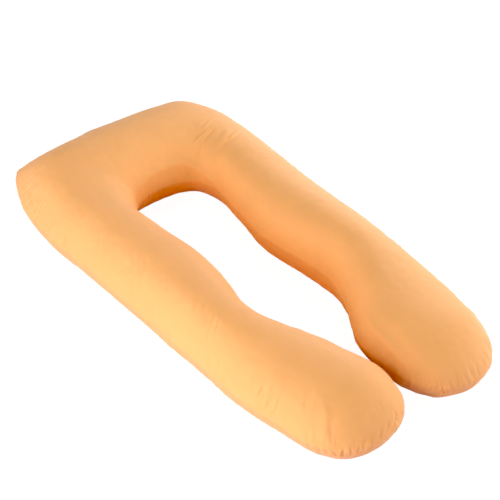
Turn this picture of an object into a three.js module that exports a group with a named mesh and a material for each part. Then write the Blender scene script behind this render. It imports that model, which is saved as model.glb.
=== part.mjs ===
// U-shaped pregnancy pillow: one filled cushion whose head bends round into two long arms.
// Millimetres, +Z up. It lies on its flat base at z = 0, head towards +Y, arms towards -Y.
import * as THREE from 'three';
import { mergeVertices } from 'three/addons/utils/BufferGeometryUtils.js';

// Driving sizes
const SEAM_HEIGHT = 87; // the seam between the upper and lower panels, level all the way round
const UPPER_ROUNDNESS = 0.56; // how squarely the upper side falls from its crown to the seam
const LOWER_ROUNDNESS = 0.54; // how squarely the lower side turns from the seam in to the base
const BASE_SHARE = 0.46; // share of the half width that lies flat on the surface
const END_LENGTH = 153; // how far each rounded arm end reaches past its last section
const END_SQUARENESS = 2.15; // power of the arm end's curve, where 2 is a plain ellipse
const SWAY = 16; // how far the arms swing towards +X over SWAY_LENGTH
const SWAY_START = 300; // y at which the swing begins
const SWAY_LENGTH = 1000;

// Mesh steps
const SECTION_COUNT = 81;
const END_SPOKES = 48;
const UPPER_RINGS = 8;
const LOWER_RINGS = 6;

// Sections across the right half, from the middle of the head to the last one before the arm end.
// outer and inner are the seam's two sides, crown is the height of the top, and roundness is
// UPPER_ROUNDNESS on the outer side, where the two head corners are drawn out to a point.
const SECTIONS = [
  { outerX: 0, outerY: 702, innerX: 0, innerY: 366, crown: 206, roundness: 0.58 },
  { outerX: 100, outerY: 702, innerX: 50, innerY: 361, crown: 206, roundness: 0.58 },
  { outerX: 190, outerY: 702, innerX: 90, innerY: 348, crown: 206, roundness: 0.64 },
  { outerX: 272, outerY: 703, innerX: 112, innerY: 326, crown: 202, roundness: 0.84 },
  { outerX: 310, outerY: 668, innerX: 122, innerY: 298, crown: 197, roundness: 0.8 },
  { outerX: 345, outerY: 565, innerX: 127, innerY: 262, crown: 192, roundness: 0.6 },
  { outerX: 362, outerY: 430, innerX: 122, innerY: 216, crown: 188, roundness: 0.56 },
  { outerX: 356, outerY: 270, innerX: 108, innerY: 122, crown: 186, roundness: 0.56 },
  { outerX: 345, outerY: 120, innerX: 93, innerY: 20, crown: 188, roundness: 0.56 },
  { outerX: 335, outerY: -40, innerX: 107, innerY: -92, crown: 192, roundness: 0.56 },
  { outerX: 328, outerY: -195, innerX: 128, innerY: -228, crown: 191, roundness: 0.56 },
  { outerX: 322, outerY: -338, innerX: 88, innerY: -348, crown: 185, roundness: 0.56 },
  { outerX: 313, outerY: -440, innerX: 42, innerY: -445, crown: 181, roundness: 0.56 },
  { outerX: 301, outerY: -500, innerX: 25, innerY: -516, crown: 178, roundness: 0.56 },
  { outerX: 293, outerY: -535, innerX: 20, innerY: -552, crown: 177, roundness: 0.56 },
];

// The arms don't lie quite alike near their ends: how far the inner side of each is moved towards
// +X, by section, counted back from the last one.
const ARM_TUCKS = [
  { fromEnd: 0, left: 5, right: -10 },
  { fromEnd: 1, left: 2, right: -16 },
  { fromEnd: 2, left: -8, right: -28 },
  { fromEnd: 3, left: -5, right: -16 },
  { fromEnd: 4, left: 0, right: -8 },
];

// Puckers that the seam draws into each arm end. at runs round the end from its outer side, 0,
// to its inner side, 1; depth, halfWidth and reach up the crown are in millimetres.
const LEFT_PUCKERS = [
  { at: 0.08, depth: 2.2, halfWidth: 13, reach: 40 },
  { at: 0.2, depth: 3.0, halfWidth: 12, reach: 46 },
  { at: 0.3, depth: 4.6, halfWidth: 13, reach: 44 },
  { at: 0.385, depth: 5.4, halfWidth: 13, reach: 48 },
  { at: 0.47, depth: 3.8, halfWidth: 12, reach: 60 },
  { at: 0.57, depth: 3.4, halfWidth: 12, reach: 66 },
  { at: 0.66, depth: 3.6, halfWidth: 13, reach: 70 },
  { at: 0.77, depth: 2.6, halfWidth: 12, reach: 52 },
  { at: 0.9, depth: 2.0, halfWidth: 13, reach: 40 },
];
const RIGHT_PUCKERS = [
  { at: 0.1, depth: 2.2, halfWidth: 13, reach: 46 },
  { at: 0.22, depth: 3.0, halfWidth: 12, reach: 58 },
  { at: 0.33, depth: 3.8, halfWidth: 13, reach: 74 },
  { at: 0.43, depth: 3.4, halfWidth: 12, reach: 78 },
  { at: 0.53, depth: 3.2, halfWidth: 12, reach: 62 },
  { at: 0.625, depth: 5.6, halfWidth: 13, reach: 52 },
  { at: 0.72, depth: 3.8, halfWidth: 12, reach: 44 },
  { at: 0.83, depth: 2.4, halfWidth: 13, reach: 40 },
];
const LOWER_REACH_SHARE = 0.6; // a pucker reaches this share as far on the lower side

const clamp = THREE.MathUtils.clamp;
const smoothstep = THREE.MathUtils.smoothstep;

// Both arms' rows in one run: left arm end, middle of the head, right arm end.
function wholeRun() {
  const right = SECTIONS.map((row) => ({ ...row }));
  const left = SECTIONS.map((row) => ({ ...row, outerX: -row.outerX, innerX: -row.innerX }));
  ARM_TUCKS.forEach((tuck) => {
    const section = SECTIONS.length - 1 - tuck.fromEnd;
    left[section].innerX += tuck.left;
    right[section].innerX += tuck.right;
  });
  return [...left.slice(1).reverse(), ...right];
}

function swayed(point) {
  const share = clamp((SWAY_START - point.y) / SWAY_LENGTH, 0, 1);
  return new THREE.Vector2(point.x + SWAY * share * share, point.y);
}

// Smooth sections along the whole run, each with its two seam points and its middle.
function smoothSections() {
  const rows = wholeRun();
  const outerLine = new THREE.SplineCurve(rows.map((row) => new THREE.Vector2(row.outerX, row.outerY)));
  const innerLine = new THREE.SplineCurve(rows.map((row) => new THREE.Vector2(row.innerX, row.innerY)));
  const filling = new THREE.SplineCurve(rows.map((row) => new THREE.Vector2(row.crown, row.roundness)));
  return Array.from({ length: SECTION_COUNT }, (_, step) => {
    const along = step / (SECTION_COUNT - 1);
    const outer = swayed(outerLine.getPoint(along));
    const inner = swayed(innerLine.getPoint(along));
    const middle = outer.clone().add(inner).multiplyScalar(0.5);
    const fill = filling.getPoint(along);
    return { outer, inner, middle, crown: fill.x, roundness: fill.y };
  });
}

// Seam points round an arm end, from one side of its last section to the other.
function endSpokes(section, from, puckers, startsInside) {
  const power = 2 / END_SQUARENESS;
  const toSide = from.clone().sub(section.middle);
  const spokes = [];
  for (let step = 1; step <= END_SPOKES; step += 1) {
    const turn = step / (END_SPOKES + 1);
    const sideways = Math.cos(turn * Math.PI);
    const across = Math.sign(sideways) * Math.abs(sideways) ** power;
    const beyond = END_LENGTH * Math.sin(turn * Math.PI) ** power;
    const rim = section.middle.clone().addScaledVector(toSide, across);
    rim.y -= beyond;
    spokes.push({
      rim,
      middle: section.middle,
      crown: section.crown,
      roundness: UPPER_ROUNDNESS,
      puckers,
      at: startsInside ? 1 - turn : turn,
    });
  }
  return spokes;
}

// The seam as one closed loop: outer side, right arm end, inner side, left arm end.
function seamLoop() {
  const sections = smoothSections();
  const first = sections[0];
  const last = sections[sections.length - 1];
  const outerSide = sections.map((section) => ({ ...section, rim: section.outer }));
  const innerSide = sections.map((section) => ({
    ...section,
    rim: section.inner,
    roundness: UPPER_ROUNDNESS,
  }));
  return [
    ...outerSide,
    ...endSpokes(last, last.outer, RIGHT_PUCKERS, false),
    ...innerSide.reverse(),
    ...endSpokes(first, first.inner, LEFT_PUCKERS, true),
  ];
}

// Rings from the top's centre line out to the seam, and under it back to the base's centre line.
function ringSteps() {
  const rings = [];
  for (let step = 0; step <= UPPER_RINGS; step += 1) {
    rings.push({ upper: true, out: Math.sin((step / UPPER_RINGS) * Math.PI * 0.5) });
  }
  for (let step = LOWER_RINGS - 1; step >= 0; step -= 1) {
    rings.push({ upper: false, out: Math.sin((step / LOWER_RINGS) * Math.PI * 0.5) });
  }
  return rings;
}

function ringPoint(spot, ring) {
  const share = ring.upper ? ring.out : BASE_SHARE + (1 - BASE_SHARE) * ring.out;
  const flat = spot.middle.clone().lerp(spot.rim, share);
  const bow = 1 - ring.out * ring.out;
  const height = ring.upper
    ? SEAM_HEIGHT + (spot.crown - SEAM_HEIGHT) * bow ** spot.roundness
    : SEAM_HEIGHT * (1 - bow ** LOWER_ROUNDNESS);
  return new THREE.Vector3(flat.x, flat.y, height);
}

// How deep the puckers press in at this spot of an arm end, at this distance from the seam.
function puckerDepth(spot, endGirth, fromSeam, upper) {
  return spot.puckers.reduce((depth, pucker) => {
    const aside = Math.abs(spot.at - pucker.at) * endGirth;
    const reach = upper ? pucker.reach : pucker.reach * LOWER_REACH_SHARE;
    const across = 1 - smoothstep(aside, 0, pucker.halfWidth);
    return depth + pucker.depth * across * (1 - smoothstep(fromSeam, 0, reach));
  }, 0);
}

// Moves a point of an arm end in towards the filling's core, where a pucker presses it.
function pressIn(point, spot, endGirth, upper) {
  const core = new THREE.Vector3(spot.middle.x, spot.middle.y, SEAM_HEIGHT);
  const seamPoint = new THREE.Vector3(spot.rim.x, spot.rim.y, SEAM_HEIGHT);
  const depth = puckerDepth(spot, endGirth, point.distanceTo(seamPoint), upper);
  point.addScaledVector(core.sub(point).normalize(), depth);
}

function pillowPoints(loop) {
  const endGirth = Math.PI * 0.5 * (END_LENGTH + loop[0].rim.distanceTo(loop[0].middle));
  const points = ringSteps().flatMap((ring) =>
    loop.map((spot) => {
      const point = ringPoint(spot, ring);
      if (spot.puckers && point.z > 0) pressIn(point, spot, endGirth, ring.upper);
      return point;
    }),
  );
  const baseCentre = loop.map((spot) => new THREE.Vector3(spot.middle.x, spot.middle.y, 0));
  return [...points, ...baseCentre];
}

function pillowGeometry() {
  const loop = seamLoop();
  const points = pillowPoints(loop);
  const indices = [];
  for (let inner = 0; inner < points.length - loop.length; inner += loop.length) {
    loop.forEach((_, spot) => {
      const nextSpot = (spot + 1) % loop.length;
      const outer = inner + loop.length;
      indices.push(inner + spot, inner + nextSpot, outer + nextSpot);
      indices.push(inner + spot, outer + nextSpot, outer + spot);
    });
  }
  const geometry = new THREE.BufferGeometry().setFromPoints(points);
  geometry.setIndex(indices);
  return withoutSlivers(mergeVertices(geometry, 0.01));
}

// Triangles that close to a line at the arm ends' centre points are left out.
function withoutSlivers(geometry) {
  const corners = Array.from(geometry.index.array);
  const kept = [];
  for (let first = 0; first < corners.length; first += 3) {
    const [a, b, c] = corners.slice(first, first + 3);
    if (a !== b && b !== c && c !== a) kept.push(a, b, c);
  }
  geometry.setIndex(kept);
  geometry.computeVertexNormals();
  return geometry;
}

const fabric = new THREE.MeshStandardMaterial({ color: 0xf0ad69, roughness: 0.82, metalness: 0 });
const pillow = new THREE.Mesh(pillowGeometry(), fabric);
pillow.name = 'pillow';

// The origin lies on the surface under the middle of the pillow's box.
pillow.geometry.computeBoundingBox();
const boxMiddle = pillow.geometry.boundingBox.getCenter(new THREE.Vector3());
pillow.position.set(-boxMiddle.x, -boxMiddle.y, 0);

const pregnancyPillow = new THREE.Group();
pregnancyPillow.add(pillow);

export default pregnancyPillow;
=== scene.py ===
"""A U-shaped pregnancy pillow in apricot cotton, lying on a pale floor. Metres, +Z up."""
import math

import bmesh
import bpy
import numpy as np
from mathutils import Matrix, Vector, noise
from mathutils.bvhtree import BVHTree
from mathutils.kdtree import KDTree


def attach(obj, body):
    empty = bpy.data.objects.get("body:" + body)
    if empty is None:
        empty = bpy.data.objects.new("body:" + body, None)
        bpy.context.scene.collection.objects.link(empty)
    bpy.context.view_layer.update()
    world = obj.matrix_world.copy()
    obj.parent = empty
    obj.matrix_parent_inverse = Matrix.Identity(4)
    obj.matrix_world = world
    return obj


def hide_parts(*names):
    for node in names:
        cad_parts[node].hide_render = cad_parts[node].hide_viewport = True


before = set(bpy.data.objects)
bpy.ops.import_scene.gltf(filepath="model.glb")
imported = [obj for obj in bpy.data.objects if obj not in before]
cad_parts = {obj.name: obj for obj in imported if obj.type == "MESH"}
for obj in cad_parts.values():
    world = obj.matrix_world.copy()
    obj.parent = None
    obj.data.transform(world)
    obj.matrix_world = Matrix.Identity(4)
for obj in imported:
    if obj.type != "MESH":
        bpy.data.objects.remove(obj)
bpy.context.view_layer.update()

# Where the photograph was taken from, matched to the pillow's outline
PHOTO_AZIMUTH = -37.75
PHOTO_ELEVATION = 39.3
PHOTO_DISTANCE = 2.61
PHOTO_TARGET = Vector((0.037, -0.0082, 0.08))
PHOTO_LENS = 70.14
SENSOR_WIDTH = 36.0

# The floor as the camera sees it, and the dim light that it gives back to the pillow:
# inside the hollow that light is painted a deep orange, in place of light that has met the pillow's
# own sides first
FLOOR_BOUNCE = (0.78, 0.66, 0.78, 1)
HOLLOW_BOUNCE = (1.0, 0.5, 0.045, 1)
HOLLOW_MIDDLE = (0.0, -0.1)
HOLLOW_REACH = (0.3, 0.75)
HOLLOW_EDGE = (0.15, 0.5)
FLOOR_SHADE = (0.16, 0.15, 0.145, 1)
FLOOR_GLOW = 0.96
FLOOR_REACH = 40.0
MATT = {"Roughness": 1.0, "Specular IOR Level": 0.0}

LIGHT_AIM = Vector((0, -0.15, 0.1))

# The picture's darkest tones are cut off a little, for shades as deep as the photograph's
BLACK_LEVEL = 0.044

# Studio lights: place and width in metres, and power in watts
LIGHTS = {
    "left_high": ((-2.5, 0.0, 2.0), 1.0, 31.2),
    "left_middle": ((-2.2, 0.3, 0.8), 1.0, 11.6),
    "left_low": ((-1.4, -0.6, 0.3), 1.0, 9.2),
    "left_back": ((-1.5, 1.5, 0.8), 1.0, 10.8),
    "front": ((-0.05, -2.0, 0.68), 1.0, 9.0),
    "right_front": ((2.0, -1.2, 0.8), 1.0, 32.4),
    "right_back": ((2.0, 1.0, 0.8), 1.0, 27.2),
    "top_back": ((0.8, 0.25, 2.0), 1.0, 11.2),
}

# The pillow's own sizes
SEAM_HEIGHT = 0.087
CLOTH_VOXEL = 0.009
CLOTH_SMOOTHING = 3

# The CAD solid's triangles are merged, joined where they meet flatter than this, and rounded
MERGE_DISTANCE = 1e-5
JOIN_ANGLE = math.radians(40)
FIRST_ROUNDING = 2
SECOND_ROUNDING = 1

# The arm ends' upper side, evened by steps in and slightly larger steps out, so that it doesn't sink
ARM_END_Y = -0.52
ARM_END_Z = 0.1
EVENING_FACTORS = (0.5, -0.53)
EVENING_ROUNDS = 12

# Levels of the rows of points beside the seam, how near a point is moved onto a row, and how
# near it counts as lying on one
SEAM_ROWS = (-0.004, -0.0018, 0.0, 0.0018, 0.004)
ROW_PULL = 0.0004
ON_ROW = 1e-6

# The seam's own groove and the soft lip on each side of it
SEAM_GROOVE = 0.0012
SEAM_GROOVE_WIDTH = 0.0016
SEAM_LIP = 0.0006
SEAM_LIP_WIDTH = 0.0045

# The two panels meet at an angle: how far that draws the seam out, and over what height
SEAM_EDGE = 0.0035
SEAM_EDGE_WIDTH = 0.016

# How near a narrow fold's line the cover's squares are halved, that line's steps, and the half
# width (mm) up to which a fold is narrow
FINE_REACH = 0.014
FINE_STEP = 0.006
NARROW_FOLD = 7

# The shortest step of a fold's line, and its steps in a half width
LINE_STEP = 0.002
STEPS_IN_HALF_WIDTH = 6

# How far a fold is felt and where its lips lie, in half widths
FOLD_REACH = 3.5
LIP_PLACE = 1.7

# The tables of folds and gathers are in millimetres
MM_IN_METRE = 1000

# Where a fold's strength is reached and lost again, as shares of its length
FOLD_ENDS = {
    "pucker": (0.12, 0.75),
    "fold": (0.4, 0.45),
    "ridge": (0.22, 0.3),
    "swell": (0.3, 0.3),
}

# Side lips of a crease: share of its depth on the left and on the right
LIPS = {"pucker": (0.45, 0.25), "fold": (0.3, 0.15), "ridge": (0.0, 0.12), "swell": (0.0, 0.0)}

# Folds that the photograph shows, by place: kind, half width and depth in mm, below zero where it
# stands out, and the line it follows in mm, mostly from the seam upwards
FOLDS = {
    "filling": [
        ("swell", 60, -4.5, [(170, 646, 172), (262, 585, 168), (325, 500, 155), (345, 430, 150)]),
        ("swell", 60, 5, [(-310, 690, 90), (-225, 648, 150), (-120, 646, 164), (-40, 644, 168)]),
        ("swell", 46, -5.5, [(-312, 655, 86), (-350, 530, 66), (-352, 430, 45), (-340, 240, 33)]),
        ("swell", 14, -3, [(-300, 684, 88), (-292, 692, 88), (-284, 698, 88)]),
        ("swell", 42, -5, [(245, -664, 98), (205, -690, 68), (160, -692, 50), (115, -682, 38)]),
        ("swell", 34, 3, [(290, -560, 130), (272, -616, 117), (256, -650, 104)]),
        ("swell", 32, 4, [(85, -655, 36), (50, -618, 38), (40, -575, 40)]),
        ("swell", 40, -4.5, [(-12, -600, 104), (-32, -655, 90), (-62, -680, 80), (-110, -694, 66)]),
        ("swell", 34, 3, [(-264, -535, 32), (-252, -595, 36), (-215, -650, 46)]),
        ("swell", 45, 3, [(-310, -360, 50), (-311, -260, 45), (-308, -170, 38)]),
        ("swell", 28, -5, [
            (124, 150, 34), (116, 20, 28), (138, -110, 18), (146, -225, 24), (114, -305, 42),
        ]),
        ("swell", 28, 4, [(112, -305, 44), (92, -345, 48), (74, -380, 46)]),
        ("swell", 32, 3, [(48, -430, 44), (36, -470, 42), (36, -520, 42)]),
        ("swell", 32, -4, [(-114, -340, 149), (-92, -404, 147), (-52, -480, 136)]),
        ("swell", 34, 4, [(-122, -340, 142), (-145, -250, 146), (-132, -130, 137)]),
        ("swell", 34, 3, [(-116, -90, 132), (-112, -10, 130), (-142, 105, 155), (-132, 200, 130)]),
        ("swell", 34, -5, [(-132, 286, 134), (-120, 330, 134), (-98, 360, 138)]),
        ("swell", 42, 6, [(-322, 660, 122), (-344, 560, 132), (-350, 430, 130), (-348, 320, 122)]),
        ("swell", 26, 2.5, [(0, 396, 22), (60, 394, 26), (110, 330, 28), (154, 190, 17)]),
    ],
    "left arm end": [
        ("pucker", 3.5, 3.5, [(-220, -666, 58), (-222, -668, 84), (-220, -668, 100)]),
        ("pucker", 3, 2.0, [(-228, -660, 58), (-238, -656, 80), (-242, -652, 94)]),
        ("pucker", 3, 2.0, [(-204, -678, 60), (-210, -680, 90), (-208, -676, 106)]),
        ("pucker", 3, 1.8, [(-194, -684, 70), (-192, -684, 88), (-190, -682, 104)]),
        ("pucker", 3, 1.5, [(-254, -630, 62), (-256, -630, 80), (-258, -626, 98)]),
        ("pucker", 3.5, 1.2, [(-184, -692, 78), (-182, -690, 100), (-172, -686, 114)]),
        ("pucker", 3.5, 1.8, [(-166, -696, 80), (-164, -694, 102), (-152, -686, 120)]),
        ("pucker", 3.5, 1.8, [(-148, -698, 92), (-138, -694, 110), (-126, -684, 122)]),
        ("pucker", 3.5, 1.6, [(-128, -698, 98), (-116, -692, 110), (-108, -682, 122)]),
        ("pucker", 4, 1.8, [(-102, -694, 98), (-88, -684, 112), (-80, -668, 126)]),
        ("pucker", 4, 1.6, [(-72, -682, 98), (-60, -672, 108), (-58, -662, 120)]),
        ("pucker", 4, 1.0, [(-266, -610, 64), (-270, -608, 88), (-270, -600, 102)]),
        ("pucker", 3, 1.4, [(-244, -646, 62), (-250, -644, 86), (-250, -640, 100)]),
        ("pucker", 2.5, 1.5, [(-212, -672, 58), (-218, -676, 86)]),
        ("ridge", 11, -1.5, [
            (-250, -644, 82), (-240, -628, 126), (-224, -608, 148), (-210, -572, 164),
            (-204, -536, 172),
        ]),
        ("fold", 6, 0.7, [(-242, -652, 94), (-232, -636, 128), (-218, -616, 148)]),
        ("fold", 5, 1.0, [(-252, -572, 136), (-236, -558, 150), (-212, -548, 164)]),
        ("fold", 5, -0.9, [(-238, -578, 146), (-222, -568, 158), (-202, -558, 166)]),
        ("fold", 4, 1.0, [(-146, -656, 148), (-150, -668, 138), (-148, -682, 126)]),
        ("fold", 4, -1.0, [(-132, -654, 150), (-134, -666, 140), (-134, -680, 128)]),
        ("fold", 4, 0.7, [(-112, -648, 150), (-112, -662, 142), (-112, -676, 130)]),
        ("fold", 2.5, 0.3, [(-232, -640, 124), (-242, -652, 94)]),
        ("fold", 2.5, 0.3, [(-224, -644, 126), (-234, -658, 92)]),
    ],
    "right arm end": [
        ("pucker", 3.2, 4.2, [(82, -674, 58), (76, -674, 90), (76, -666, 112)]),
        ("pucker", 4, 2.8, [(62, -662, 68), (56, -658, 98), (56, -642, 118)]),
        ("pucker", 4, 1.6, [(52, -652, 80), (52, -642, 110), (54, -626, 124)]),
        ("pucker", 4, 2.0, [(72, -672, 76), (66, -662, 108), (68, -646, 124)]),
        ("pucker", 4, 2.2, [(102, -688, 70), (92, -682, 104), (92, -670, 122)]),
        ("pucker", 4, 1.8, [(112, -692, 76), (106, -682, 112), (110, -662, 136)]),
        ("pucker", 4, 1.1, [(136, -698, 76), (124, -690, 112), (126, -676, 130)]),
        ("pucker", 4, 0.8, [(152, -698, 80), (142, -688, 120), (150, -666, 140)]),
        ("pucker", 4, 0.6, [(166, -700, 86), (160, -686, 120), (166, -664, 142)]),
        ("pucker", 4, 0.6, [(180, -698, 88), (176, -692, 108), (178, -682, 124)]),
        ("pucker", 4, 0.7, [(206, -692, 90), (202, -684, 112), (200, -670, 132)]),
        ("pucker", 3, 1.3, [(124, -696, 70), (114, -694, 92)]),
        ("pucker", 4, 0.9, [(48, -644, 68), (42, -632, 92)]),
        ("pucker", 5, 0.5, [(228, -678, 102), (230, -666, 116), (230, -650, 134)]),
        ("pucker", 3, 1.5, [(88, -682, 68), (82, -680, 94)]),
        ("ridge", 11, -2.6, [
            (66, -410, 136), (50, -458, 138), (44, -500, 134), (42, -546, 130), (42, -594, 126),
        ]),
        ("ridge", 9, -1.2, [(36, -516, 124), (34, -560, 120), (40, -608, 118)]),
    ],
    "head left corner": [
        ("pucker", 5, 1.1, [(-352, 514, 92), (-342, 504, 126), (-316, 510, 154)]),
        ("pucker", 5, 1.0, [(-354, 502, 76), (-346, 462, 128), (-322, 482, 154)]),
        ("pucker", 5, 0.9, [(-342, 568, 96), (-326, 548, 134), (-304, 550, 154)]),
        ("pucker", 5, 1.2, [(-356, 342, 62), (-354, 332, 112), (-332, 330, 146)]),
        ("pucker", 4, 3.8, [(-354, 292, 92), (-352, 289, 124), (-342, 293, 146)]),
        ("pucker", 3, 1.0, [(-354, 330, 54), (-356, 314, 100)]),
        ("pucker", 3, 0.9, [(-350, 294, 52), (-354, 274, 104)]),
        ("pucker", 4, 0.8, [(-356, 468, 70), (-352, 440, 120), (-338, 444, 142)]),
        ("pucker", 4, 0.8, [(-354, 412, 50), (-358, 382, 110), (-344, 382, 134)]),
        ("fold", 4, 0.6, [(-324, 306, 154), (-302, 314, 170), (-278, 326, 182)]),
        ("fold", 4, 0.5, [(-308, 282, 164), (-288, 290, 176), (-268, 296, 184)]),
        ("fold", 4, 0.6, [(-308, 222, 162), (-286, 236, 174), (-266, 248, 182)]),
        ("fold", 4, 0.5, [(-328, 158, 136), (-306, 184, 160), (-280, 216, 178)]),
        ("fold", 4, 0.4, [(-318, 144, 148), (-292, 174, 170)]),
        ("ridge", 36, -1.2, [
            (-120, 340, 132), (-152, 362, 166), (-172, 410, 186), (-182, 466, 198),
        ]),
        ("ridge", 24, 2.5, [(-212, 246, 184), (-224, 340, 188), (-238, 460, 192)]),
        ("fold", 8, 1.0, [(-106, 490, 204), (-112, 434, 188), (-118, 382, 162)]),
        ("fold", 3, 0.4, [(-188, 378, 184), (-168, 340, 170)]),
        ("fold", 3, 0.4, [(-194, 350, 182), (-170, 320, 168)]),
    ],
    "head right corner": [
        ("fold", 4, -3.0, [(132, 390, 170), (166, 396, 182), (208, 406, 192)]),
        ("fold", 4, 2.5, [(140, 374, 166), (176, 382, 182), (236, 404, 192)]),
        ("fold", 4, -1.9, [(182, 416, 190), (212, 426, 194), (252, 444, 190)]),
        ("fold", 3, 1.4, [(176, 426, 190), (234, 446, 194)]),
        ("fold", 7, 1.7, [(124, 346, 138), (142, 364, 162), (168, 376, 178)]),
        ("fold", 6, 3.4, [(162, 310, 162), (188, 320, 178), (230, 328, 188), (268, 338, 186)]),
        ("fold", 5, -2.9, [(204, 322, 184), (242, 338, 188), (294, 362, 176)]),
        ("fold", 7, 1.9, [(136, 304, 134), (158, 308, 158), (184, 314, 176)]),
        ("fold", 10, -2.4, [(162, 336, 166), (210, 348, 186), (272, 378, 184)]),
        ("fold", 3, 1.2, [(236, 234, 186), (252, 218, 184), (262, 194, 182)]),
        ("fold", 3, 1.0, [(254, 254, 184), (286, 230, 174)]),
    ],
    "hollow wall": [
        ("ridge", 12, -4.0, [
            (-96, 346, 104), (-50, 372, 130), (-10, 380, 136), (38, 380, 138), (84, 370, 138),
            (110, 344, 124), (122, 306, 108), (126, 238, 88),
        ]),
        ("fold", 3, 2.0, [(-98, 340, 80), (-96, 342, 102), (-90, 352, 126)]),
        ("fold", 2.5, 1.4, [(-88, 346, 74), (-86, 348, 98), (-82, 358, 126)]),
        ("fold", 3, 1.0, [(-76, 350, 66), (-74, 350, 92), (-70, 364, 128)]),
        ("fold", 2.5, 1.2, [(-64, 354, 70), (-62, 354, 92), (-56, 370, 130)]),
        ("fold", 3, 0.8, [(-50, 356, 66), (-48, 356, 94), (-42, 374, 132)]),
        ("fold", 3, 0.9, [(-36, 358, 70), (-34, 360, 94), (-28, 378, 134)]),
        ("fold", 3.5, 0.6, [(-18, 360, 66), (-16, 360, 92), (-8, 378, 134)]),
        ("fold", 4, 0.6, [(0, 362, 60), (4, 362, 88), (12, 378, 134)]),
        ("fold", 4, 0.5, [(24, 362, 56), (28, 360, 82), (42, 374, 132)]),
    ],
    "left arm side": [
        ("fold", 4, 1.2, [(-284, -200, 168), (-252, -188, 186)]),
        ("fold", 4, 1.0, [(-282, -222, 168), (-258, -214, 182), (-232, -202, 190)]),
        ("fold", 4, 0.9, [(-286, -248, 160), (-266, -240, 178), (-246, -232, 186)]),
        ("fold", 5, 1.3, [
            (-302, -284, 138), (-288, -268, 158), (-264, -258, 176), (-242, -242, 188),
        ]),
        ("fold", 4, 0.6, [(-282, -288, 160), (-260, -272, 176), (-240, -260, 186)]),
        ("fold", 4, 0.6, [(-270, -142, 178), (-250, -134, 188), (-220, -132, 192)]),
        ("fold", 4, 0.5, [(-288, -146, 166), (-270, -146, 178), (-250, -150, 188)]),
        ("fold", 4, 0.4, [(-304, 34, 156), (-278, 60, 174), (-258, 82, 182)]),
        ("fold", 4, 0.5, [(-294, 14, 164), (-272, 42, 178), (-246, 62, 186)]),
        ("fold", 4, 0.35, [(-280, 8, 174), (-252, 34, 184)]),
        ("fold", 4, 0.4, [(-286, -102, 170), (-250, -52, 186)]),
        ("fold", 4, 1.2, [(-298, -458, 106), (-282, -462, 132), (-264, -464, 148)]),
        ("fold", 4, 1.4, [(-296, -484, 88), (-282, -492, 120), (-264, -498, 138)]),
        ("fold", 4, 1.0, [(-288, -508, 92), (-268, -514, 130)]),
    ],
    "right arm top": [
        ("fold", 5, -0.8, [(158, -200, 160), (182, -176, 180)]),
        ("fold", 4, 0.5, [(154, -226, 158), (182, -222, 178), (200, -222, 186)]),
        ("fold", 4, 0.4, [(176, -248, 176), (202, -246, 188)]),
        ("fold", 4, 0.6, [(144, -334, 170), (168, -328, 180), (196, -324, 184)]),
    ],
}

# The cloth's colour, the finish that is the same all over it, and its bump
APRICOT = (0.97, 0.475, 0.18, 1)
COTTON = {
    "Roughness": 0.7,
    "Specular IOR Level": 0.3,
    "Sheen Weight": 0.29,
    "Sheen Roughness": 0.51,
    "Sheen Tint": (1.0, 0.9, 0.8, 1),
}
BUMP = {"Strength": 0.35, "Distance": 0.0008}

# How close the cloth's threads, soft dents and cloudy shades lie, and the threads' share of the
# height
THREADS_PER_METRE = 1600
THREAD_SHARE = 0.03
CRUMPLES_PER_METRE = 70
CLOUDS_PER_METRE = 14

# Waves in a metre that the wave texture makes at a scale of one
WAVES_AT_SCALE_ONE = 20 / (2 * math.pi)

# Small gathers that the seam pulls in everywhere else: spacing, half width, depth and reach in mm
GATHER_SPACING = (9, 24)
GATHER_WIDTH = (2.4, 4.2)
GATHER_DEPTH = (0.25, 1.1)
GATHER_REACH = (14, 46)
GATHER_SEED = 11

# The gathers' slant to either side, their least distance from a listed pucker, and their
# strength where the seam runs straight
GATHER_SLANT = 0.35
GATHER_CLEARANCE = 0.009
STRAIGHT_STRENGTH = 0.22

# How far to each side a gather is felt: half widths, and metres beyond them
GATHER_SPAN = 5
GATHER_MARGIN = 0.02

# The draw of gathers ends once it is this near to the seam's closing point
SEAM_CLOSE = 0.01

# How the seam's bend is read: points to each side, points to smooth over and to wrap round, and
# the bend, in radians per metre, that counts as full
BEND_SPAN = 12
BEND_WINDOW = 31
BEND_MARGIN = 40
FULL_BEND = 6.5

# Uneven filling: size and height of its lumps in metres
FILLING_LUMPS = ((0.13, 0.0014), (0.055, 0.0006), (0.02, 0.0008))

# Soft streaks up and down from the seam, in patches: sizes in metres, the share of their reach
# over which they fade, and how much of the cover the patches take in
STREAK_PITCH = 0.0085
STREAK_LENGTH = 0.05
STREAK_HEIGHT = 0.0029
STREAK_START = 0.012
STREAK_REACH = 0.115
STREAK_FADE = 0.6
STREAK_PATCH = 0.07
PATCH_LEVEL = 0.45

# Each panel reads its own layer of the streaks
UPPER_LAYER = 3.0
LOWER_LAYER = 17.0

# The streaks stay short at the hollow, where the seam lies within these limits of x and y, and
# at the arm ends, this far past the start of their evened part
SHORT_STREAK_REACH = 0.045
HOLLOW_SEAM = (0.2, 0.45)
ARM_TURN = 0.05


# Small helpers


def activate(piece):
    bpy.ops.object.select_all(action="DESELECT")
    piece.select_set(True)
    bpy.context.view_layer.objects.active = piece


def apply_modifier(piece, name):
    activate(piece)
    bpy.ops.object.modifier_apply(modifier=name)


def vertex_array(mesh):
    flat = np.zeros(len(mesh.vertices) * 3, np.float32)
    mesh.vertices.foreach_get("co", flat)
    return flat.reshape(-1, 3).astype(float)


def normal_array(mesh):
    flat = np.zeros(len(mesh.vertices) * 3, np.float32)
    mesh.vertex_normals.foreach_get("vector", flat)
    return flat.reshape(-1, 3).astype(float)


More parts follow.
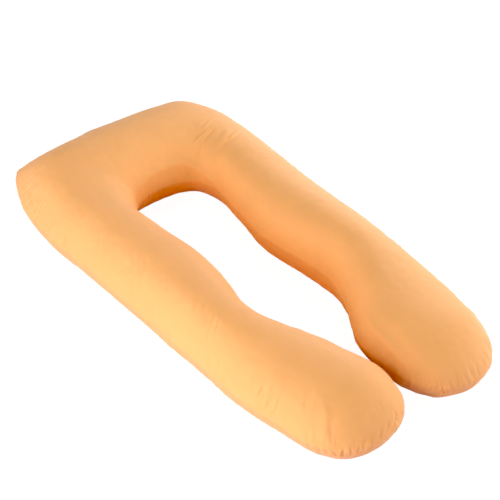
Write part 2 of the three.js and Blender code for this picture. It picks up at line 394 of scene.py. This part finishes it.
def set_vertices(mesh, points):
    mesh.vertices.foreach_set("co", points.astype(np.float32).ravel())
    mesh.update()


# The filled form


def round_off(piece, levels):
    """Subdivides the whole piece into smaller, rounder squares."""
    rounding = piece.modifiers.new("rounding", "SUBSURF")
    rounding.levels = levels
    rounding.render_levels = levels
    apply_modifier(piece, "rounding")


def filled_body():
    """The pillow's filled form as an even mesh of small squares."""
    shape = bmesh.new()
    shape.from_mesh(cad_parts["pillow"].data)
    bmesh.ops.remove_doubles(shape, verts=shape.verts, dist=MERGE_DISTANCE)
    bmesh.ops.join_triangles(
        shape,
        faces=shape.faces,
        angle_face_threshold=JOIN_ANGLE,
        angle_shape_threshold=JOIN_ANGLE,
    )
    mesh = bpy.data.meshes.new("pillow_cover")
    shape.to_mesh(mesh)
    shape.free()
    piece = bpy.data.objects.new("pillow_cover", mesh)
    bpy.context.scene.collection.objects.link(piece)
    round_off(piece, FIRST_ROUNDING)
    evening = piece.modifiers.new("evening", "REMESH")
    evening.mode = "VOXEL"
    evening.voxel_size = CLOTH_VOXEL
    apply_modifier(piece, "evening")
    smoothing = piece.modifiers.new("smoothing", "CORRECTIVE_SMOOTH")
    smoothing.use_only_smooth = True
    smoothing.factor = 0.5
    smoothing.iterations = CLOTH_SMOOTHING
    apply_modifier(piece, "smoothing")
    return piece


def soften_arm_ends(mesh):
    """Evens out the broad puckers of the arm ends above the seam; finer folds follow there."""
    shape = bmesh.new()
    shape.from_mesh(mesh)
    ends = [v for v in shape.verts if v.co.y < ARM_END_Y and v.co.z > ARM_END_Z]
    for factor in EVENING_FACTORS * EVENING_ROUNDS:
        middles = [
            sum((e.other_vert(v).co for e in v.link_edges), Vector()) / len(v.link_edges) for v in ends
        ]
        for v, middle in zip(ends, middles):
            v.co = v.co.lerp(middle, factor)
    shape.to_mesh(mesh)
    shape.free()


def refine_near(mesh, lines, reach):
    """Halves the squares that lie within reach of any of the lines."""
    tree = KDTree(sum(len(line) for line in lines))
    count = 0
    for line in lines:
        for place in line:
            tree.insert(Vector(place), count)
            count += 1
    tree.balance()
    shape = bmesh.new()
    shape.from_mesh(mesh)
    close = {v for v in shape.verts if tree.find(v.co)[2] < reach}
    edges = {e for f in shape.faces if all(v in close for v in f.verts) for e in f.edges}
    bmesh.ops.subdivide_edges(shape, edges=list(edges), cuts=1, use_grid_fill=True)
    shape.to_mesh(mesh)
    shape.free()


def fine_lines():
    """The lines of all narrow folds, for the finer squares around them."""
    rows = [row for group in FOLDS.values() for row in group if row[1] <= NARROW_FOLD]
    return [smooth_line(row[3], FINE_STEP) for row in rows]


# The seam's rows of points, and its line


def cut_seam_rows(mesh):
    """Adds level rows of points at the seam and beside it."""
    shape = bmesh.new()
    shape.from_mesh(mesh)
    for step in SEAM_ROWS:
        level = SEAM_HEIGHT + step
        for v in shape.verts:
            if abs(v.co.z - level) < ROW_PULL:
                v.co.z = level
        bmesh.ops.bisect_plane(
            shape,
            geom=list(shape.verts) + list(shape.edges) + list(shape.faces),
            dist=ON_ROW,
            plane_co=(0, 0, level),
            plane_no=(0, 0, 1),
        )
    shape.to_mesh(mesh)
    shape.free()


def seam_loop(mesh):
    """The seam's points in their order, the distance walked to each, and the whole length."""
    shape = bmesh.new()
    shape.from_mesh(mesh)
    on_seam = [v for v in shape.verts if abs(v.co.z - SEAM_HEIGHT) < ON_ROW]
    marked = set(on_seam)
    start = max(on_seam, key=lambda v: v.co.y)
    order = [start]
    seen = {start}
    here = start
    while True:
        ahead = [e.other_vert(here) for e in here.link_edges]
        ahead = [v for v in ahead if v in marked and v not in seen]
        if not ahead:
            break
        here = ahead[0]
        order.append(here)
        seen.add(here)
    line = np.array([v.co[:] for v in order])
    shape.free()
    steps = np.linalg.norm(np.roll(line, -1, axis=0) - line, axis=1)
    walked = np.concatenate(([0], np.cumsum(steps)[:-1]))
    return line, walked, steps.sum()


# Folds placed one by one


def smooth_line(points, step):
    """A smooth line through a few points given in mm, in short steps."""
    corners = np.array(points, float) / MM_IN_METRE
    padded = np.vstack((2 * corners[0] - corners[1], corners, 2 * corners[-1] - corners[-2]))
    pieces = []
    for k in range(len(corners) - 1):
        a, b, c, d = padded[k : k + 4]
        count = max(2, int(np.linalg.norm(c - b) / step))
        t = np.linspace(0, 1, count, endpoint=False)[:, None]
        square = (2 * a - 5 * b + 4 * c - d) * t**2
        cube = (3 * b - a - 3 * c + d) * t**3
        pieces.append(0.5 * (2 * b + (c - a) * t + square + cube))
    pieces.append(corners[-1:])
    return np.vstack(pieces)


def on_surface(tree, line):
    """The line laid on the cover, with the cover's outward direction at each step."""
    laid = [tree.find_nearest(Vector(point)) for point in line]
    return np.array([hit[0][:] for hit in laid]), np.array([hit[1][:] for hit in laid])


def eased(value):
    value = np.clip(value, 0, 1)
    return value * value * (3 - 2 * value)


def crease_shape(across, lips):
    """A trough one deep at its middle, with a low lip on each side."""
    left, right = lips
    trough = -np.exp(-(across**2))
    left_lip = left * np.exp(-((across + LIP_PLACE) ** 2))
    right_lip = right * np.exp(-((across - LIP_PLACE) ** 2))
    return trough + (left_lip + right_lip)


def press_fold(points, offset, tree, row):
    """Adds one fold's height to the offsets of the points near its line."""
    kind, half_width, depth, path = row
    half_width = half_width / MM_IN_METRE
    step = max(LINE_STEP, half_width / STEPS_IN_HALF_WIDTH)
    line, outward = on_surface(tree, smooth_line(path, step))
    reach = FOLD_REACH * half_width
    near = np.all((points > line.min(0) - reach) & (points < line.max(0) + reach), axis=1)
    chosen = np.nonzero(near)[0]
    if len(chosen) == 0:
        return
    away = points[chosen][:, None, :] - line[None, :, :]
    squared = (away**2).sum(2)
    nearest = squared.argmin(1)
    rows = np.arange(len(chosen))
    along = np.gradient(line, axis=0)
    along /= np.linalg.norm(along, axis=1)[:, None]
    left = np.cross(outward, along)
    side = -np.sign((away[rows, nearest] * left[nearest]).sum(1))
    across = side * np.sqrt(squared[rows, nearest]) / half_width
    share = nearest / (len(line) - 1)
    rise, fall = FOLD_ENDS[kind]
    strength = eased(share / rise) * eased((1 - share) / fall)
    offset[chosen] += depth / MM_IN_METRE * strength * crease_shape(across, LIPS[kind])


# Gathers, the seam's edge, uneven filling and streaks


def seam_places(points, line, walked):
    """For each point: how far along the seam its nearest place is, how far off, and which."""
    tree = KDTree(len(line))
    for k, place in enumerate(line):
        tree.insert(Vector(place), k)
    tree.balance()
    found = [tree.find(Vector(point)) for point in points]
    nearest = np.array([hit[1] for hit in found])
    return walked[nearest], np.array([hit[2] for hit in found]), nearest


def seam_bend(line):
    """How sharply the seam turns at each of its points, one at an arm's end."""
    before = line - np.roll(line, BEND_SPAN, axis=0)
    after = np.roll(line, -BEND_SPAN, axis=0) - line
    turn = np.arctan2(
        before[:, 0] * after[:, 1] - before[:, 1] * after[:, 0], (before * after).sum(1)
    )
    bend = np.abs(turn) / np.linalg.norm(after, axis=1)
    kernel = np.hanning(BEND_WINDOW)
    wrapped = np.concatenate((bend[-BEND_MARGIN:], bend, bend[:BEND_MARGIN]))
    smoothed = np.convolve(wrapped, kernel / kernel.sum(), "same")[BEND_MARGIN:-BEND_MARGIN]
    return np.clip(smoothed / FULL_BEND, 0, 1)


def press_gathers(offset, along, away, above, line, walked, length):
    """Small uneven puckers across the seam, stronger where the seam turns."""
    random = np.random.default_rng(GATHER_SEED)
    bend = seam_bend(line)
    taken = [row[3][0] for rows in FOLDS.values() for row in rows if row[0] == "pucker"]
    taken = np.array(taken, float) / MM_IN_METRE
    place = 0.0
    while place < length - SEAM_CLOSE:
        place += random.uniform(*GATHER_SPACING) / MM_IN_METRE
        half_width = random.uniform(*GATHER_WIDTH) / MM_IN_METRE
        depth = random.uniform(*GATHER_DEPTH) / MM_IN_METRE
        reach_up, reach_down = random.uniform(*GATHER_REACH, 2) / MM_IN_METRE
        slant = random.uniform(-GATHER_SLANT, GATHER_SLANT)
        spot = min(int(np.searchsorted(walked, place)), len(line) - 1)
        if np.linalg.norm((line[spot] - taken)[:, :2], axis=1).min() < GATHER_CLEARANCE:
            continue
        strength = STRAIGHT_STRENGTH + (1 - STRAIGHT_STRENGTH) * bend[spot]
        reach = np.where(above, reach_up, reach_down) * (1 + strength) / 2
        felt = GATHER_SPAN * half_width + GATHER_MARGIN
        close = (np.abs(along - place) < felt) & (away < reach)
        if not close.any():
            continue
        across = (along[close] - place - slant * away[close]) / half_width
        fade = eased(1 - away[close] / reach[close])
        offset[close] += depth * strength * fade * crease_shape(across, LIPS["pucker"])


def press_seam(offset, points, away):
    """The edge at which the panels meet, with the seam's narrow groove between two soft lips."""
    rise = points[:, 2] - SEAM_HEIGHT
    close = away < 6 * SEAM_EDGE_WIDTH
    edge = SEAM_EDGE * np.exp(-np.abs(rise) / SEAM_EDGE_WIDTH)
    groove = -SEAM_GROOVE * np.exp(-((rise / SEAM_GROOVE_WIDTH) ** 2))
    lips = SEAM_LIP * np.exp(-((rise / SEAM_LIP_WIDTH) ** 2))
    offset[close] += (edge + groove + lips)[close]


def press_filling(offset, points):
    """Broad low lumps of the filling."""
    for size, height in FILLING_LUMPS:
        lumps = [noise.noise(Vector(point) / size) for point in points]
        offset += height * np.array(lumps)


def press_streaks(offset, points, along, away, above, seam):
    """Faint crumpled streaks that run up and down from the seam, stronger in patches."""
    hollow_x, hollow_y = HOLLOW_SEAM
    at_hollow = (np.abs(seam[:, 0]) < hollow_x) & (seam[:, 1] < hollow_y)
    at_end = seam[:, 1] < ARM_END_Y - ARM_TURN
    reach = np.where(at_hollow | at_end, SHORT_STREAK_REACH, STREAK_REACH)
    fade = eased(away / STREAK_START) * eased((reach - away) / (STREAK_FADE * reach))
    close = np.nonzero(fade > 0)[0]
    layer = np.where(above, UPPER_LAYER, LOWER_LAYER)
    streaks = [
        noise.noise(Vector((along[k] / STREAK_PITCH, away[k] / STREAK_LENGTH, layer[k])))
        for k in close
    ]
    patches = [PATCH_LEVEL + noise.noise(Vector(points[k]) / STREAK_PATCH) for k in close]
    offset[close] += STREAK_HEIGHT * fade[close] * np.array(streaks) * np.clip(patches, 0, 1)


def dress_cover(piece):
    """Seam, gathers, folds and uneven filling, all as heights above the smooth cover."""
    mesh = piece.data
    refine_near(mesh, fine_lines(), FINE_REACH)
    cut_seam_rows(mesh)
    line, walked, length = seam_loop(mesh)
    points = vertex_array(mesh)
    outward = normal_array(mesh)
    along, away, nearest = seam_places(points, line, walked)
    above = points[:, 2] > SEAM_HEIGHT
    offset = np.zeros(len(points))
    press_filling(offset, points)
    press_streaks(offset, points, along, away, above, line[nearest])
    press_gathers(offset, along, away, above, line, walked, length)
    press_seam(offset, points, away)
    tree = BVHTree.FromPolygons(
        [tuple(p) for p in points], [tuple(face.vertices) for face in mesh.polygons]
    )
    for rows in FOLDS.values():
        for row in rows:
            press_fold(points, offset, tree, row)
    points += outward * offset[:, None]
    points[:, 2] = np.maximum(points[:, 2], 0)
    set_vertices(mesh, points)


def make_cover():
    piece = filled_body()
    soften_arm_ends(piece.data)
    round_off(piece, SECOND_ROUNDING)
    dress_cover(piece)
    piece.data.shade_smooth()
    piece.data.materials.append(cover_fabric())
    return piece


# The cloth


def new_node(tree, kind, **settings):
    """A node of the kind, with the given settings and socket values."""
    node = tree.nodes.new(kind)
    for name, value in settings.items():
        if name in node.inputs:
            node.inputs[name].default_value = value
        else:
            setattr(node, name, value)
    return node


def set_inputs(node, values):
    for name, value in values.items():
        node.inputs[name].default_value = value


def cotton_weave():
    """Node group: the shade and the height of a soft, faintly crumpled cotton cloth."""
    group = bpy.data.node_groups.new("cotton_weave", "ShaderNodeTree")
    sockets = group.interface
    sockets.new_socket("Colour", in_out="INPUT", socket_type="NodeSocketColor")
    sockets.new_socket("Shade", in_out="INPUT", socket_type="NodeSocketFloat")
    sockets.new_socket("Crumple", in_out="INPUT", socket_type="NodeSocketFloat")
    sockets.new_socket("Colour", in_out="OUTPUT", socket_type="NodeSocketColor")
    sockets.new_socket("Height", in_out="OUTPUT", socket_type="NodeSocketFloat")
    given = group.nodes.new("NodeGroupInput")
    made = group.nodes.new("NodeGroupOutput")
    place = new_node(group, "ShaderNodeTexCoord")
    link = group.links.new

    # Threads: thin waves along all three axes, so that every side shows some
    threads = []
    scale = THREADS_PER_METRE / WAVES_AT_SCALE_ONE
    for axis in ("X", "Y", "Z"):
        wave = new_node(group, "ShaderNodeTexWave", bands_direction=axis, Scale=scale)
        link(place.outputs["Object"], wave.inputs["Vector"])
        threads.append(wave.outputs["Fac"])
    pair = new_node(group, "ShaderNodeMath", operation="ADD")
    link(threads[0], pair.inputs[0])
    link(threads[1], pair.inputs[1])
    weave = new_node(group, "ShaderNodeMath", operation="ADD")
    link(pair.outputs[0], weave.inputs[0])
    link(threads[2], weave.inputs[1])

    # Crumple: soft uneven dents of the cloth
    crumple = new_node(group, "ShaderNodeTexNoise", Scale=CRUMPLES_PER_METRE, Detail=3.0)
    link(place.outputs["Object"], crumple.inputs["Vector"])
    dents = new_node(group, "ShaderNodeMath", operation="MULTIPLY")
    link(crumple.outputs["Fac"], dents.inputs[0])
    link(given.outputs["Crumple"], dents.inputs[1])
    height = new_node(group, "ShaderNodeMath", operation="MULTIPLY_ADD")
    height.inputs[1].default_value = THREAD_SHARE
    link(weave.outputs[0], height.inputs[0])
    link(dents.outputs[0], height.inputs[2])
    link(height.outputs[0], made.inputs["Height"])

    # Shade: the dye took a little unevenly
    cloud = new_node(group, "ShaderNodeTexNoise", Scale=CLOUDS_PER_METRE, Detail=4.0)
    link(place.outputs["Object"], cloud.inputs["Vector"])
    spread = new_node(group, "ShaderNodeMapRange")
    spread.inputs["To Min"].default_value = -1.0
    link(cloud.outputs["Fac"], spread.inputs["Value"])
    value = new_node(group, "ShaderNodeMath", operation="MULTIPLY_ADD")
    value.inputs[2].default_value = 1.0
    link(spread.outputs["Result"], value.inputs[0])
    link(given.outputs["Shade"], value.inputs[1])
    tone = new_node(group, "ShaderNodeHueSaturation")
    link(given.outputs["Colour"], tone.inputs["Color"])
    link(value.outputs[0], tone.inputs["Value"])
    link(tone.outputs["Color"], made.inputs["Colour"])
    return group


def cover_fabric():
    """Apricot cotton with a faint sheen."""
    fabric = bpy.data.materials.new("cover_fabric")
    fabric.use_nodes = True
    tree = fabric.node_tree
    shader = tree.nodes["Principled BSDF"]
    set_inputs(shader, COTTON)
    weave = tree.nodes.new("ShaderNodeGroup")
    weave.node_tree = cotton_weave()
    weave.inputs["Colour"].default_value = APRICOT
    weave.inputs["Shade"].default_value = 0.05
    weave.inputs["Crumple"].default_value = 1.0
    bump = new_node(tree, "ShaderNodeBump", **BUMP)
    tree.links.new(weave.outputs["Colour"], shader.inputs["Base Color"])
    tree.links.new(weave.outputs["Height"], bump.inputs["Height"])
    tree.links.new(bump.outputs["Normal"], shader.inputs["Normal"])
    return fabric


# Floor, lights, backdrop and camera


def floor_bounce(tree):
    """Painted bounce light, the colour the floor gives back: deep orange inside the hollow, plain and
    pale outside.
    """
    middle = [-m / r for m, r in zip(HOLLOW_MIDDLE, HOLLOW_REACH)] + [0]
    size = [1 / r for r in HOLLOW_REACH] + [1]
    place = new_node(tree, "ShaderNodeTexCoord")
    centred = new_node(tree, "ShaderNodeMapping", Location=middle, Scale=size)
    round_fade = new_node(tree, "ShaderNodeTexGradient", gradient_type="SPHERICAL")
    edge = new_node(tree, "ShaderNodeMapRange", interpolation_type="SMOOTHSTEP")
    edge.inputs["From Min"].default_value, edge.inputs["From Max"].default_value = HOLLOW_EDGE
    mix = new_node(tree, "ShaderNodeMix", data_type="RGBA")
    mix.inputs["A"].default_value = FLOOR_BOUNCE
    mix.inputs["B"].default_value = HOLLOW_BOUNCE
    tree.links.new(place.outputs["Object"], centred.inputs["Vector"])
    tree.links.new(centred.outputs["Vector"], round_fade.inputs["Vector"])
    tree.links.new(round_fade.outputs["Fac"], edge.inputs["Value"])
    tree.links.new(edge.outputs["Result"], mix.inputs["Factor"])
    return mix.outputs["Result"]


def floor_paint():
    """Near white to the camera, and a dim coloured matt to the light that it gives back."""
    paint = bpy.data.materials.new("floor_paint")
    paint.use_nodes = True
    tree = paint.node_tree
    bounce = tree.nodes["Principled BSDF"]
    set_inputs(bounce, MATT)
    tree.links.new(floor_bounce(tree), bounce.inputs["Base Color"])
    seen = tree.nodes.new("ShaderNodeBsdfPrincipled")
    set_inputs(seen, MATT)
    seen.inputs["Base Color"].default_value = FLOOR_SHADE
    seen.inputs["Emission Color"].default_value = (1, 1, 1, 1)
    seen.inputs["Emission Strength"].default_value = FLOOR_GLOW
    path = tree.nodes.new("ShaderNodeLightPath")
    mix = tree.nodes.new("ShaderNodeMixShader")
    tree.links.new(path.outputs["Is Camera Ray"], mix.inputs["Fac"])
    tree.links.new(bounce.outputs["BSDF"], mix.inputs[1])
    tree.links.new(seen.outputs["BSDF"], mix.inputs[2])
    tree.links.new(mix.outputs["Shader"], tree.nodes["Material Output"].inputs["Surface"])
    return paint


def make_floor():
    shape = bmesh.new()
    bmesh.ops.create_grid(shape, x_segments=1, y_segments=1, size=FLOOR_REACH)
    mesh = bpy.data.meshes.new("floor")
    shape.to_mesh(mesh)
    shape.free()
    mesh.materials.append(floor_paint())
    floor = bpy.data.objects.new("floor", mesh)
    bpy.context.scene.collection.objects.link(floor)


def soft_light(name, place, width, power):
    lamp = bpy.data.lights.new(name, "AREA")
    lamp.shape = "DISK"
    lamp.size = width
    lamp.energy = power
    holder = bpy.data.objects.new(name, lamp)
    holder.location = place
    holder.rotation_mode = "QUATERNION"
    holder.rotation_quaternion = (LIGHT_AIM - Vector(place)).to_track_quat("-Z", "Y")
    bpy.context.scene.collection.objects.link(holder)


def make_lights():
    for name, (place, width, power) in LIGHTS.items():
        soft_light(name, place, width, power)


def make_backdrop():
    """White all round as far as the camera sees it; it sheds no light on the pillow."""
    world = bpy.data.worlds.new("studio")
    world.use_nodes = True
    tree = world.node_tree
    white = tree.nodes["Background"]
    white.inputs["Color"].default_value = (1, 1, 1, 1)
    path = tree.nodes.new("ShaderNodeLightPath")
    tree.links.new(path.outputs["Is Camera Ray"], white.inputs["Strength"])
    bpy.context.scene.world = world


def make_camera():
    turn = math.radians(PHOTO_AZIMUTH)
    rise = math.radians(PHOTO_ELEVATION)
    back = Vector((math.sin(turn) * math.cos(rise), -math.cos(turn) * math.cos(rise), math.sin(rise)))
    lens = bpy.data.cameras.new("photo_camera")
    lens.lens = PHOTO_LENS
    lens.sensor_width = SENSOR_WIDTH
    camera = bpy.data.objects.new("photo_camera", lens)
    camera.location = PHOTO_TARGET + back * PHOTO_DISTANCE
    camera.rotation_mode = "QUATERNION"
    camera.rotation_quaternion = (-back).to_track_quat("-Z", "Y")
    bpy.context.scene.collection.objects.link(camera)
    bpy.context.scene.camera = camera


def grade_picture():
    """A plain tone curve with its black level raised."""
    view = bpy.context.scene.view_settings
    view.view_transform = "Standard"
    view.use_curve_mapping = True
    view.curve_mapping.black_level = (BLACK_LEVEL,) * 3
    view.curve_mapping.update()


make_camera()
make_floor()
make_lights()
make_backdrop()
grade_picture()
cover = make_cover()
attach(cover, "root")
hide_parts("pillow")
